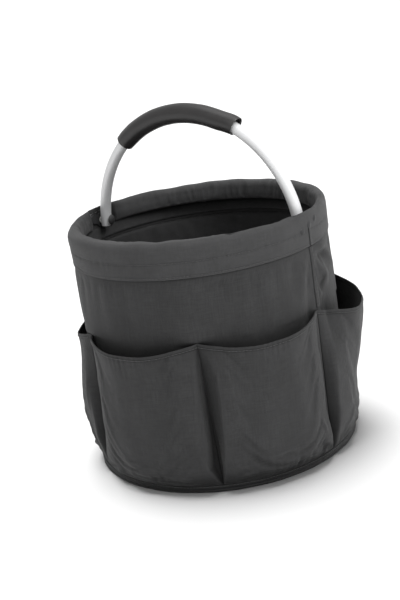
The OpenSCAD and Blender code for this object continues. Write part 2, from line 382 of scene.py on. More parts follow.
def metal_material(name, colour, roughness, metallic=1.0, relief=0.01, specular=0.5):
    """Satin metal with drawn streaks, faint smudges and light scratches."""
    g = Graph(name)
    coords = g.node("ShaderNodeTexCoord").outputs["Object"]
    streak = g.noise(scaled(g, coords, 900, 900, 20), 1.0, 3.0)
    smudge = g.noise(scaled(g, coords, 35, 35, 35), 1.0, 4.0, 0.6)
    scratch = g.noise(scaled(g, coords, 260, 260, 2200), 1.0, 2.0)
    rough = g.math("ADD", g.vary(smudge, roughness - 0.05, roughness + 0.08), g.vary(streak, -0.03, 0.04))
    shade = g.product(g.vary(smudge, 0.95, 1.03), g.spread(scratch, 0.62, 0.7, 1.0, 0.93))
    g.set(
        Base_Color=g.tint(colour, shade),
        Metallic=metallic,
        Specular_IOR_Level=specular,
        Roughness=rough,
        Normal=g.bump(streak, relief, 0.5),
    )


def moulded_material(name, colour, roughness, pebble=1.0, relief=0.06, sheen=0.0):
    """Moulded plastic, nylon or foam: fine pebbled skin, uneven gloss and paler rubbed edges."""
    g = Graph(name)
    coords = g.node("ShaderNodeTexCoord").outputs["Object"]
    grain = g.noise(scaled(g, coords, 1, 1, 1), 1000 / pebble, 3.0, 0.6)
    cloud = g.noise(scaled(g, coords, 1, 1, 1), 60, 4.0, 0.6)
    convexity = g.node("ShaderNodeNewGeometry").outputs["Pointiness"]
    shade = g.product(g.vary(cloud, 0.88, 1.12), g.spread(convexity, 0.48, 0.6, 0.95, 1.5), g.vary(grain, 0.9, 1.1))
    g.set(
        Base_Color=g.tint(colour, shade),
        Roughness=g.vary(cloud, roughness - 0.07, roughness + 0.07),
        Sheen_Weight=sheen,
        Specular_IOR_Level=0.45,
        Normal=g.bump(grain, relief, 0.6),
    )


cloth_material("body_fabric", (0.0306, 0.0306, 0.0312), sheen=0.1)
cloth_material("band_fabric", (0.0438, 0.0438, 0.0446), slub=0.12, sheen=0.1)
cloth_material("lining_fabric", (0.026, 0.026, 0.0265), pitch=0.6, relief=0.08, slub=0.1, sheen=0.1)
cloth_material("trim_tape", (0.0148, 0.0148, 0.0152), pitch=0.7, roughness=0.7, sheen=0.12)
moulded_material("thread", (0.05, 0.05, 0.051), 0.6, pebble=0.3, relief=0.05, sheen=0.2)
cloth_material("base_fabric", (0.02, 0.02, 0.0205), pitch=1.0, relief=0.2)
moulded_material("board", (0.15, 0.14, 0.13), 0.6, pebble=2.0)
metal_material("hoop_steel", (0.5, 0.51, 0.52), 0.35)
moulded_material("foam", (0.1, 0.1, 0.11), 0.9, pebble=1.5, relief=0.4)
metal_material("dark_hardware", (0.03, 0.03, 0.031), 0.48, metallic=0.0, relief=0.02, specular=0.3)
moulded_material("nylon", (0.75, 0.75, 0.72), 0.4, pebble=1.0)
metal_material("tube_aluminium", (0.74, 0.745, 0.75), 0.48, metallic=0.3)
moulded_material("grip_foam", (0.018, 0.0169, 0.0169), 0.37, pebble=0.7, relief=0.1)
moulded_material("plug_plastic", (0.022, 0.022, 0.023), 0.45)


# ---- cloth settling ----

class Cloth:
    """One panel to be settled: a coarse grid of points, how firmly each is held, how much extra cloth the
    panel has and how stiffly it bends. settled holds the shift of each point once settle() has run."""

    def __init__(self, p, held, extra, stiffness):
        self.p, self.held, self.extra, self.stiffness = p, held, extra, stiffness
        self.settled = np.zeros_like(p)

    def at(self, rows, cols):
        """The shift at fractions of the way along the rows and columns."""
        def blend(data, where, axis):
            n = data.shape[axis] - 1
            x = np.clip(where, 0, 1) * n
            k = np.clip(x.astype(int), 0, n - 1)
            w = ease(x - k)
            shape = [1] * data.ndim
            shape[axis] = -1
            w = w.reshape(shape)
            return np.take(data, k, axis) * (1 - w) + np.take(data, k + 1, axis) * w
        return blend(blend(self.settled, rows, 0), cols, 1)


def settle(cloths, frames=34, reach=6.0):
    """Runs Blender's cloth on every panel at once and keeps each point's shift, which stays under reach."""
    scene = bpy.context.scene
    running = []
    for k, c in enumerate(cloths):
        obj = add_object(f"settle_{k}", c.p, grid_faces(*c.p.shape[:2]))
        group = obj.vertex_groups.new(name="held")
        for i, w in enumerate(c.held.reshape(-1)):
            group.add([i], float(w), "REPLACE")
        modifier = obj.modifiers.new("cloth", "CLOTH")
        s = modifier.settings
        s.quality = 7
        s.mass = 0.15
        s.air_damping = 6
        s.tension_stiffness = s.compression_stiffness = 18
        s.shear_stiffness = 6
        s.bending_stiffness = c.stiffness
        s.tension_damping = s.compression_damping = 12
        s.vertex_group_mass = "held"
        s.shrink_min = -c.extra
        modifier.collision_settings.use_collision = False
        modifier.point_cache.frame_end = frames
        running.append((c, obj))
    for f in range(1, frames + 1):
        scene.frame_set(f)
    graph = bpy.context.evaluated_depsgraph_get()
    for c, obj in running:
        mesh = obj.evaluated_get(graph).data
        where = np.zeros(len(mesh.vertices) * 3)
        mesh.vertices.foreach_get("co", where)
        shift = where.reshape(c.p.shape) / MM - c.p
        size = np.linalg.norm(shift, axis=-1, keepdims=True)
        c.settled = shift * (reach * np.tanh(size / reach) / np.maximum(size, 1e-9))
        data = obj.data
        bpy.data.objects.remove(obj)
        bpy.data.meshes.remove(data)
    scene.frame_set(1)


# ---- pockets ----

# Ways the cloth folds beside a pocket's seam. For each height, three distances from the seam: where the
# cloth leaves the wall, where it reaches its crest and where it joins the pocket's face.
FOLD_Z = [9, 32, 65, 104, 142, 165, 184]
FOLDS = {
    "crisp": ([0.2, 0.5, 1.0, 1.0, 0.8, 0.5, 0.3], [0.6, 1.2, 2.0, 2.2, 1.8, 1.2, 0.8],
              [1.0, 2.0, 3.0, 3.4, 3.0, 2.4, 1.6]),
    "open": ([0.2, 2.4, 4.7, 5.2, 2.7, 1.1, 0.5], [0.9, 4.3, 7.2, 8.1, 6.0, 4.2, 3.2],
             [2.0, 9.5, 13.3, 11.1, 8.0, 6.5, 5.5]),
    "wide": ([0.2, 3.8, 7.6, 8.4, 4.4, 1.8, 0.8], [1.2, 6.5, 11.0, 12.6, 9.2, 6.4, 4.5],
             [2.5, 14.0, 20.0, 18.0, 13.0, 9.5, 7.7]),
    "ramp": ([0.3, 3.0, 3.6, 1.5, 0.5, 0.4, 0.3], [0.8, 5.0, 9.6, 13.4, 14.0, 8.0, 3.0],
             [1.2, 5.7, 10.4, 14.4, 15.4, 9.4, 4.4]),
    "tuck": ([0.3, 6.5, 3.6, 2.0, 1.0, 0.6, 0.3], [0.9, 10.3, 6.4, 5.6, 4.0, 2.6, 1.4],
             [1.4, 11.0, 17.5, 11.0, 7.0, 5.0, 3.0]),
    "lap": ([0.3, 4.5, 10.0, 10.5, 9.0, 5.0, 1.0], [0.8, 6.5, 13.0, 13.6, 12.0, 7.5, 2.4],
            [1.3, 7.4, 14.0, 14.8, 13.4, 9.4, 3.8]),
    "flank": ([0.2, 0.3, 0.4, 0.4, 0.4, 0.3, 0.3], [0.8, 3.4, 6.0, 8.0, 12.0, 10.0, 4.0],
              [1.4, 4.4, 7.2, 11.0, 17.0, 15.0, 7.0]),
}

# How each pocket hangs, counted from +X as in the CAD. mouth: how far the middle of the mouth stands off
# the wall. sag: how far it hangs below its sewn ends. belly: how far the low part stands off, from what
# height, and how slackly it gets there. low and high: the folds on the side towards the last pocket and the
# next one, as a kind and a depth.
POCKETS = {
    1: dict(mouth=31, sag=15, belly=(15, 62, 0.8), low=("flank", 12), high=("crisp", 13), seed=3),
    2: dict(mouth=17, sag=7, belly=(18, 62, 0.8), low=("open", 13), high=("wide", 13), seed=5),
    3: dict(mouth=16, sag=8, belly=(18, 62, 0.8), low=("crisp", 13), high=("wide", 13), seed=7),
    4: dict(mouth=8, sag=12, belly=(17, 88, 1.1), low=("crisp", 14), high=("flank", 11), seed=11),
    5: dict(mouth=17, sag=6, belly=(18, 62, 0.8), low=("lap", 8), high=("tuck", 17), seed=13),
    6: dict(mouth=18, sag=6, belly=(19, 62, 0.8), low=("ramp", 16), high=("lap", 9), seed=17),
}
# Pocket seams that don't run straight: degrees round from the CAD's place, at the mouth and at the foot
SEAM_LEAN = {5: (-0.6, 2.0), 6: (-2.4, -4.6)}
FOOT_OUT = 1.2  # how far the middle of a pocket's foot stands off the wall
HEM_W = 4.5  # depth of the hem at a mouth
HALF_W = 84.0  # about half a pocket's width along the wall
POCKET_GAP_DEG = 0.2  # from a pocket's edge to its seam line


def pocket_out(shape, z):
    """Distance from the wall of the middle of a pocket, close to the CAD's."""
    mouth_z = POCKET_TOP_Z - shape["sag"]
    belly, belly_z, slack = shape["belly"]
    rise = np.clip((z - POCKET_FOOT_Z) / (belly_z - POCKET_FOOT_Z), 0, 1)
    low_part = FOOT_OUT + (belly - FOOT_OUT) * np.sin(np.pi / 2 * rise) ** slack
    rise = np.clip((z - belly_z) / (mouth_z - belly_z), 0, 1)
    return low_part + (shape["mouth"] - belly) * (1 - np.cos(np.pi * rise)) / 2


def fold_depth(z):
    """How much of the full step the folds beside a seam have at height z."""
    return np.interp(z, [9, 12, 18, 30, 48, 100, 130, 150, 166, 178, 186],
                     [0.0, 0.35, 0.6, 0.92, 1.0, 1.0, 0.86, 0.6, 0.34, 0.18, 0.1])


def seam_lean(number, z):
    """How far the seam after a pocket has wandered at height z, in degrees."""
    mouth, foot = SEAM_LEAN.get(number, (0.0, 0.0))
    return foot + (mouth - foot) * (z - POCKET_FOOT_Z) / (POCKET_TOP_Z - POCKET_FOOT_Z)


def panel_profile(shape, z, s, half):
    """Height off the wall across one row of a pocket. s runs from -half to half, in millimetres."""
    full = pocket_out(shape, z)
    fine = np.linspace(-half, half, 900)
    sides = []
    for kind, depth in (shape["low"], shape["high"]):
        step = min(depth * fold_depth(z), full * 0.93)
        places = [np.interp(z, FOLD_Z, row) for row in FOLDS[kind]]
        sides.append((places, [step * k for k in (0.06, 0.8, 1.0)]))
    (low_at, low_h), (high_at, high_h) = sides
    across = [-half, *(d - half for d in low_at), *(half - d for d in reversed(high_at)), half]
    base = np.interp(fine, across, [0.0, *low_h, *reversed(high_h), 0.0])
    inner = np.clip((fine - across[3]) / (across[4] - across[3]) * 2 - 1, -1, 1)
    rest = np.interp(inner, [-1, 1], [low_h[2], high_h[2]])
    crown = (full - rest) * (1 - np.abs(inner) ** np.interp(z, [9, 100, 184], [2.6, 2.4, 2.8]))
    width = np.interp(z, [9, 60, 184], [0.4, 0.55, 0.8])  # the corners are rounded over this
    pitch = fine[1] - fine[0]
    reach = int(4 * width / pitch) + 1
    kernel = np.exp(-0.5 * (np.arange(-reach, reach + 1) * pitch / width) ** 2)
    total = np.pad(base + crown, reach, mode="reflect", reflect_type="odd")
    smooth = np.convolve(total, kernel / kernel.sum(), mode="valid")
    return np.interp(s, fine, smooth)


def crease(s, z, start, end, height, width):
    """A ridge (or a dent, with a negative height) along a line from start to end, fading to its ends."""
    a, b = np.array(start, float), np.array(end, float)
    along_line = b - a
    length = np.hypot(*along_line)
    t = ((s - a[0]) * along_line[0] + (z - a[1]) * along_line[1]) / length ** 2
    off = ((s - a[0]) * along_line[1] - (z - a[1]) * along_line[0]) / length
    bow = off + 0.06 * length * (np.clip(t, 0, 1) - 0.5) ** 2
    return height * np.exp(-(bow / width) ** 2) * bump(2 * np.clip(t, -1, 2) - 1, 1.0)


# Creases worth naming, as (start, end, height, width) with s counted from the pocket's middle
CREASES = {
    5: [((-83, 11), (-38, 30), -2.0, 1.9), ((-74, 9), (-26, 22), 2.4, 3.0), ((-56, 12), (10, 16), 1.8, 2.0),
        ((-20, 19), (58, 13), 1.6, 2.0), ((-30, 25), (30, 21), -1.3, 2.6), ((14, 28), (60, 20), 1.5, 2.2),
        ((34, 12), (66, 17), 1.3, 1.6), ((-70, 60), (-50, 130), 1.0, 7.0)],
    6: [((82, 18), (52, 33), 3.0, 2.2), ((76, 11), (44, 20), 2.2, 1.7), ((70, 30), (58, 17), 1.8, 1.5),
        ((56, 11), (24, 24), 2.0, 1.9), ((62, 36), (44, 24), -1.6, 1.8), ((40, 10), (12, 19), 1.7, 1.6),
        ((30, 26), (4, 14), -1.2, 2.0), ((20, 17), (-24, 21), 1.4, 2.0), ((-12, 11), (-34, 17), 1.2, 1.6),
        ((-74, 17), (-30, 22), 1.4, 2.6), ((30, 44), (24, 150), 1.2, 9.0), ((66, 36), (54, 64), 1.6, 2.4)],
    1: [((-70, 20), (-30, 60), 1.8, 3.6), ((-64, 14), (-20, 18), 1.6, 2.0), ((-20, 60), (-26, 160), 1.6, 7.0),
        ((18, 50), (30, 150), 1.3, 8.0), ((-40, 12), (-10, 26), 1.6, 2.0), ((10, 14), (44, 20), 1.6, 2.2)],
    4: [((76, 14), (50, 70), 2.2, 2.6), ((60, 40), (30, 110), 1.8, 4.0), ((10, 20), (60, 30), 1.8, 2.6),
        ((66, 70), (70, 140), 1.8, 3.0), ((-30, 12), (4, 20), 1.5, 2.0)],
    2: [((-60, 16), (-20, 24), 1.8, 2.6), ((40, 20), (70, 60), 1.8, 3.0), ((-10, 12), (36, 18), 1.5, 2.0),
        ((-50, 60), (-30, 150), 1.3, 7.0)],
    3: [((-70, 16), (-40, 40), 1.8, 2.8), ((20, 16), (66, 22), 1.8, 2.4), ((-30, 12), (8, 19), 1.5, 2.0),
        ((-40, 60), (-56, 140), 1.3, 6.0)],
}


def pocket_grid(number, s_at, v_at, detail):
    """The cloth of a pocket before it settles: s_at runs -1..1 across it and v_at 0..1 up it."""
    shape = POCKETS[number]
    centre = (number - 0.5) * POCKET_DEG
    half_deg = POCKET_DEG / 2 - POCKET_GAP_DEG
    top = POCKET_TOP_Z - shape["sag"] * (1 - s_at ** 2)
    z = POCKET_FOOT_Z + (top[None, :] - POCKET_FOOT_Z) * v_at[:, None]
    z_mid = POCKET_FOOT_Z + (POCKET_TOP_Z - shape["sag"] - POCKET_FOOT_Z) * v_at
    half = math.radians(half_deg) * wall_r(z_mid)
    out = np.stack([panel_profile(shape, zm, s_at * h, h) for zm, h in zip(z_mid, half)])
    lean_low, lean_high = (seam_lean(n or POCKET_COUNT, z) for n in (number - 1, number))
    angle = centre + s_at[None, :] * half_deg + lean_low + (lean_high - lean_low) * (1 + s_at[None, :]) / 2
    if detail:
        s = s_at[None, :] * half[:, None]
        p = polar(angle, wall_r(z), z)
        edge = ease((1 - np.abs(s_at))[None, :] * HALF_W / 12 - 0.2)
        fade = edge * ease((z - POCKET_FOOT_Z) / 12)
        flat = np.stack([s, z, 0 * z], -1)
        wave = field(flat, (26, 120, 1), shape["seed"])
        soft = field(p, 34, shape["seed"] + 1)
        fine = field(p, 9, shape["seed"] + 2)
        low_part = np.exp(-((z - POCKET_FOOT_Z - 9) / 12) ** 2)
        gathers = field(flat, (6.5, 22, 1), shape["seed"] + 3)
        pucker = low_part * edge * gathers * (1.0 + 0.5 * field(p, 40, shape["seed"] + 4))
        out = out + fade * (wave * 1.2 + soft * 0.9 + fine * 0.16) + pucker
        for start, end, height, width in CREASES[number]:
            out = out + crease(s, z, start, end, height, width) * ease((z - POCKET_FOOT_Z) / 4)
    return polar(angle, wall_r(z) + GAP + CLOTH / 2 + np.maximum(out, 0.0), z)


# Places across and up a pocket, close together at its folds, and coarse ones for the settling
edge = np.r_[0, 0.7, np.arange(1.5, 30, 1.1)] / HALF_W
half_cols = np.r_[edge, np.linspace(edge[-1] + 0.017, 1, 38)] - 1
pocket_cols = np.r_[half_cols, -half_cols[-2::-1]]
pocket_rows = np.r_[np.linspace(0, 0.2, 23)[:-1], np.linspace(0.2, 1, 66)]
coarse_cols = np.linspace(-1, 1, 53)
coarse_rows = np.linspace(0, 1, 45)

# Held fast at the sewn edges and the folds beside them, and firmly along the mouth
pocket_cloths = {}
for number, shape in POCKETS.items():
    p = pocket_grid(number, coarse_cols, coarse_rows, False)
    held = np.zeros(p.shape[:2])
    held[:, :2] = held[:, -2:] = 1
    held[:2] = 1
    held[-1] = np.maximum(held[-1], 0.35)
    low_face, high_face = (max(FOLDS[shape[side][0]][2]) for side in ("low", "high"))
    flank = np.maximum(ease((low_face + 26 - (1 + coarse_cols) * HALF_W) / 30),
                       ease((high_face + 26 - (1 - coarse_cols) * HALF_W) / 30))
    held = np.maximum(held, 0.04 + 0.96 * flank[None, :])
    pocket_cloths[number] = Cloth(p, held, 0.02, 0.5)


# ---- wall and lining panels ----

WALL_TURN = {"front": 180.0, "rear": 0.0}

# Creases in the wall above the pockets, as for a pocket, with s counted round from +X
WALL_CREASES = [
    ((-8, 258), (58, 250), 6.5, 6.5), ((-4, 252), (54, 238), -4.0, 6.0), ((-4, 240), (42, 206), 7.5, 9.0),
    ((0, 208), (26, 192), 2.6, 4.0), ((38, 250), (76, 210), 3.0, 8.0),
    ((-8, 256), (-26, 214), 0.8, 5.0), ((-10, 240), (-40, 190), 0.8, 7.0),
    ((-165, 262), (-172, 190), 1.3, 9.0), ((-120, 262), (-112, 180), -1.2, 10.0),
]


def wall_grid(side, cols, rows, inset):
    """Grid of a wall panel from one side seam to the other, rows running up."""
    half_gap = math.degrees(GAP / 2 / WALL_FOOT_R)
    angle = WALL_TURN[side] + half_gap + (180 - 2 * half_gap) * cols
    start = WALL_FOOT_Z + 0.3
    z = start + (WALL_TOP - start) * rows
    return polar(angle[None, :], wall_r(z)[:, None] - inset, z[:, None])


wall_cloths = {}
for side in WALL_TURN:
    cols, rows = np.linspace(0, 1, 121), np.linspace(0, 1, 57)
    p = wall_grid(side, cols, rows, CLOTH / 2)
    held = np.full(p.shape[:2], 0.05)
    z = p[..., 2]
    held[z > BAND_Z - 4] = 1
    held[z < POCKET_FOOT_Z + 12] = 1
    held[:, [0, -1]] = 1
    for seam in (1 / 3, 2 / 3):  # the two pocket seams between its ends
        near = np.argmin(np.abs(cols - seam))
        held[z[:, near] < POCKET_TOP_Z, near] = 1
    wall_cloths[side] = Cloth(p, held, 0.008, 12.0)

settle(list(pocket_cloths.values()) + list(wall_cloths.values()))

wall_cols, wall_rows = np.linspace(0, 1, 361), np.linspace(0, 1, 120)
wall_points = {}
for side, cloth in wall_cloths.items():
    p = wall_grid(side, wall_cols, wall_rows, CLOTH / 2)
    z = p[..., 2]
    free = ease((BAND_Z - 1 - z) / 14) * ease((z - POCKET_FOOT_Z) / 30)
    angle = np.degrees(np.arctan2(p[..., 1], p[..., 0]))
    seam = np.minimum(np.abs(angle), 180 - np.abs(angle)) * wall_r(z) * math.pi / 180
    arc = np.radians(angle) * wall_r(z)
    near_seam = np.exp(-(seam / 26) ** 2) * np.where(arc < 0, 0.45, 1.0)
    wave = field(p, (30, 30, 110), 21)
    broad = field(p, 60, 22)
    crumple = field(np.stack([p[..., 0], p[..., 1], z + arc * 0.6], -1), (9, 9, 16), 23)
    shift = wave * 0.9 + broad * 1.2 + near_seam * crumple * 1.5
    for start, end, height, width in WALL_CREASES:
        shift = shift + crease(arc, z, start, end, height, width)
    out = outward(angle)
    move = cloth.at(wall_rows, wall_cols) + out * shift[..., None]
    radial = np.clip(np.sum(move * out, -1), -4.0, np.where(z < POCKET_TOP_Z, 0.0, 8.0))
    move = move - out * (np.sum(move * out, -1) - radial)[..., None]
    slack = free * ease(seam / np.where(arc < 0, 20, 5))
    wall_points[side] = p + move * slack[..., None]
    place(sheet(f"cloth_wall_{side}", wall_points[side]), "base", "body_fabric", f"wall_{side}", squash=True)

for side, p in wall_points.items():
    rows = (wall_rows > 0.02) & (p[:, 0, 2] < BAND_Z - 0.6)
    inner = p[rows][::2, ::2].copy()
    z = inner[..., 2]
    out = inner * (1, 1, 0) / np.hypot(inner[..., 0], inner[..., 1])[..., None]
    drape = field(inner, (24, 24, 70), 31) * 1.6 + 1.2
    crumple = field(inner, 13, 32) * 0.7 + 0.5
    slack = ease((BAND_Z - z) / 18) * ease((z - FLOOR_Z) / 16)
    inner -= out * ((CLOTH + LINING) / 2 + GAP + np.maximum(drape + crumple, 0) * slack)[..., None]
    inner[..., 2] = np.maximum(inner[..., 2], FLOOR_Z + 0.4)
    obj = sheet(f"cloth_lining_{side}", inner, thickness=LINING)
    place(obj, "base", "lining_fabric", f"lining_{side}", squash=True)


# ---- pocket pieces ----

def hem(name, rows, replaced):
    """A folded hem over the top rows of a panel: a thin strip of cloth over the edge and down both faces.
    rows holds the panel's points from HEM_W below the mouth up to it. Returns their outward normals."""
    n = np.cross(np.gradient(rows, axis=1), np.gradient(rows, axis=0))
    n *= np.sign(np.sum(n[..., :2] * rows[..., :2], -1, keepdims=True))
    n /= np.linalg.norm(n, axis=-1, keepdims=True)
    tip = rows[-1] - rows[-2]
    tip /= np.linalg.norm(tip, axis=-1, keepdims=True)
    half, skin, last = CLOTH / 2, 0.25, len(rows) - 1
    swell = [skin * (1 + 0.5 * math.sin(math.pi * k / last)) for k in range(last + 1)]
    ring = [rows[k] + n[k] * (half + swell[k]) for k in range(last + 1)]
    for a in np.radians([60, 20, -20, -60]):
        ring.append(rows[-1] + (half + skin) * (tip * math.cos(a) + n[-1] * math.sin(a)))
    ring += [rows[k] - n[k] * (half + skin) for k in range(last, -1, -1)]
    ring += [rows[k] - n[k] * (half - skin) for k in range(last)]
    ring += [rows[k] + n[k] * (half - skin) for k in range(last - 1, -1, -1)]
    ring = np.array(ring)
    count, cols = ring.shape[:2]
    faces = grid_faces(count, cols, closed_v=True, flip=True)
    faces.append(tuple(k * cols for k in range(count)))
    faces.append(tuple(k * cols + cols - 1 for k in reversed(range(count))))
    uv = np.stack([np.broadcast_to(along(ring, 1)[:1], (count, cols)), along(ring, 0)], -1)
    place(add_object(name, ring, faces, uv), "base", "body_fabric", replaced, squash=True)
    return n


for number, cloth in pocket_cloths.items():
    p = pocket_grid(number, pocket_cols, pocket_rows, True)
    edge = ease((1 - np.abs(pocket_cols)) * 4 - 0.2)[None, :] * ease(pocket_rows * 9)[:, None]
    edge = edge * np.interp(pocket_rows, [0, 0.25, 0.5, 1], [0.7, 0.65, 0.55, 0.65])[:, None]
    p = p + cloth.at(pocket_rows, (pocket_cols + 1) / 2) * edge[..., None]
    radius = np.hypot(p[..., 0], p[..., 1])
    least = wall_r(p[..., 2]) + GAP + CLOTH / 2
    p[..., :2] *= (np.maximum(radius, least) / radius)[..., None]
    place(sheet(f"cloth_pocket_{number}", p), "base", "body_fabric", f"pocket_{number}", squash=True)
    height = along(p, 0)[-1] - along(p, 0)
    start = int(np.argmin(np.abs(height[:, height.shape[1] // 2] - HEM_W)))
    n = hem(f"hem_pocket_{number}", p[start:], f"pocket_tape_{number}")
    row = p[start] + (p[start + 1] - p[start]) * 0.5
    stitches(f"thread_mouth_{number}", row + n[0] * (CLOTH / 2 + 0.5), n[0], "base", squash=True)


# ---- rim band ----

LENS_SHIFT = 18.0  # how far each circle of the opening is set off
LENS_R = math.hypot(RIM_R - 4.15, LENS_SHIFT)
ROLL_Z = SLOT_TOP + 0.8  # underside of the roll's cloth
ROLL_DEPTH = 21.0  # the roll's greatest depth, for scaling its creases
SHOULDER = 7.2  # height of the roll's rounded top
BRACKET_OUT = high("pivot_bracket_right").x
BRACKET_ROOM = 26.0  # the roll and its foam stop this far each side of a pivot
# The band's outer face up to the roll, as heights over its lower edge and distances past RIM_R. Its two
# dips are the stitched tucks.
BAND_FACE = [(0, -0.5), (0.5, 0.0), (1.6, 0.15), (2.6, -0.11), (3.6, 0.1), (7, 0.25), (11, 0.3), (15, 0.25),
             (17.6, 0.1), (18.8, -0.22), (20, 0.1), (23, 0.3), (27, 0.45), (31, 0.45)]
TUCK_ROWS = {"upper": 9, "lower": 3}  # where BAND_FACE dips


def lens_r(angle):
    """Radius of the rim opening: two circles set apart along Y."""
    s = np.abs(np.sin(np.radians(angle)))
    return -LENS_SHIFT * s + np.sqrt(LENS_R ** 2 - (LENS_SHIFT * (1 - s ** 2) ** 0.5) ** 2)


def band_section(angle):
    """The band's cross-section at an angle, as (r, z) points that run up the outer face, over the roll and
    down the inner face, then round the slot that takes the wall's top edge."""
    y = abs(math.sin(math.radians(angle))) * RIM_R
    bracket = float(ease((BRACKET_ROOM - y) / 5))
    inner = lens_r(angle)
    inner = inner + bracket * (BRACKET_OUT + 0.12 - inner)
    depth = RIM_R - inner
    crown = min(depth * 0.5, 6.5)
    pts = [(RIM_R + r, BAND_Z + up) for up, r in BAND_FACE] + [(RIM_R + 0.3, RIM_TOP - SHOULDER - 1)]
    for a in np.radians(np.linspace(6, 84, 9)):
        pts.append((RIM_R - crown + crown * math.cos(a), RIM_TOP - SHOULDER + SHOULDER * math.sin(a)))
    flat = inner + min(crown, depth * 0.5)
    for t in (0.33, 0.66):
        pts.append((RIM_R - crown + (flat - RIM_R + crown) * t, RIM_TOP + 0.2 * math.sin(math.pi * t)))
    drop = SHOULDER + 1.5 * (1 - bracket)
    for a in np.radians(np.linspace(84, 6, 9)):
        pts.append((flat - (flat - inner) * math.cos(a), RIM_TOP - drop + drop * math.sin(a)))
    plump = 0.9 * (1 - bracket)
    for t in (0.1, 0.3, 0.5, 0.7, 0.9):
        z = RIM_TOP - drop + (ROLL_Z + 4 - RIM_TOP + drop) * t
        pts.append((inner - plump * math.sin(math.pi * t), z))
    ply = RIM_R - 4.0
    back = max(inner, ply) if bracket > 0.5 else inner
    for a in np.radians(np.linspace(0, 90, 5)):
        pts.append((back + (ply - back) * (1 - math.cos(a)), ROLL_Z + 4 - 4 * math.sin(a)))
    for z in (ROLL_Z - 2, ROLL_Z - 6, ROLL_Z - 10, BAND_Z + 3, BAND_Z + 0.4):
        pts.append((ply, z))
    slot_in, slot_out = RIM_R - 2.8, RIM_R - 1.2
    pts += [(slot_in - 0.3, BAND_Z), (slot_in, BAND_Z + 0.4), (slot_in, BAND_Z + 7)]
    pts += [(slot_in, SLOT_TOP - 0.6), (slot_out, SLOT_TOP - 0.6)]
    pts += [(slot_out, BAND_Z + 7), (slot_out, BAND_Z + 0.6)]
    return pts


BAND_STEPS = 540
band_angles = np.arange(BAND_STEPS) * 360 / BAND_STEPS
sections = np.array([band_section(a) for a in band_angles])
OUTER_FACE = 24  # the section's points up to the top of the roll
INNER_FACE = 40  # and on to the foot of the roll's inner side
band = polar(band_angles[:, None], sections[..., 0], sections[..., 1]).transpose(1, 0, 2)
radial = outward(band_angles)
z = band[..., 2]
index = np.arange(len(band))[:, None]
outside = (index < OUTER_FACE) * ease((z - BAND_Z) / 3)
around = polar(band_angles, RIM_R, z)
near_pivot = np.minimum(band_angles % 180, 180 - band_angles % 180)
calm = ease((near_pivot - 5) / 6)[None, :]
from_upper, from_lower = (z - BAND_Z - BAND_FACE[row][0] for row in TUCK_ROWS.values())
tuck_ripple = np.exp(-(from_upper / 5) ** 2) + 0.6 * np.exp(-(from_lower / 3) ** 2)
ripple = field(around, (5.5, 5.5, 11), 41) * tuck_ripple * 0.35
pad = field(around, (32, 32, 30), 42) * 0.8
shift = outside * (pad + ripple) * (0.25 + 0.75 * calm)
roll = (index >= OUTER_FACE) & (index < INNER_FACE)
depth = (RIM_R - lens_r(band_angles))[None, :] / ROLL_DEPTH
ridges = -np.abs(field(around, (10, 10, 40), 43)) * 1.9 + 0.5
shift_in = roll * calm * depth * (ridges + pad * 1.2)
band = band + radial[None] * (shift - shift_in)[..., None]
top = ease((z - RIM_TOP + 9) / 8) * (index < INNER_FACE)
band[..., 2] += top * calm * (field(around, (26, 26, 60), 44) * 0.9 - 0.3)

place(tube_grid("cloth_rim_band", band, band_angles, RIM_R), "rim", "body_fabric", "rim_band",
      finish="band_fabric")

FOAM_STEPS, FOAM_SIDES = 150, 20
for side, turn in WALL_TURN.items():
    keep = math.degrees(math.asin(BRACKET_ROOM / RIM_R))
    angles = np.linspace(turn + keep, turn + 180 - keep, FOAM_STEPS)
    inner, outer = lens_r(angles) + 2.2, RIM_R - 4.2
    to_end = np.minimum(np.arange(FOAM_STEPS), np.arange(FOAM_STEPS)[::-1])
    taper = np.sqrt(np.clip(to_end / 6, 0.05, 1))
    ring = np.arange(FOAM_SIDES)[:, None] * 2 * math.pi / FOAM_SIDES
    across, up = (np.abs(v) ** 0.7 * np.sign(v) for v in (np.cos(ring), np.sin(ring)))
    r = (inner + outer) / 2 + (outer - inner) / 2 * taper * across
    z = (RIM_TOP + ROLL_Z) / 2 + ((RIM_TOP - ROLL_Z) / 2 - 2.4) * taper * up
    faces = grid_faces(FOAM_SIDES, FOAM_STEPS, closed_v=True, flip=True)
    ends = range(0, FOAM_SIDES * FOAM_STEPS, FOAM_STEPS)
    faces += [tuple(ends), tuple(k + FOAM_STEPS - 1 for k in reversed(ends))]
    obj = add_object(f"foam_roll_{side}", polar(angles, r, z), faces)
    place(obj, "rim", "foam", f"rim_padding_{side}")


# ---- more trim ----

for label, row in TUCK_ROWS.items():
    stitches(f"thread_band_{label}", band[row] + radial * 0.1, radial, "rim", closed=True)

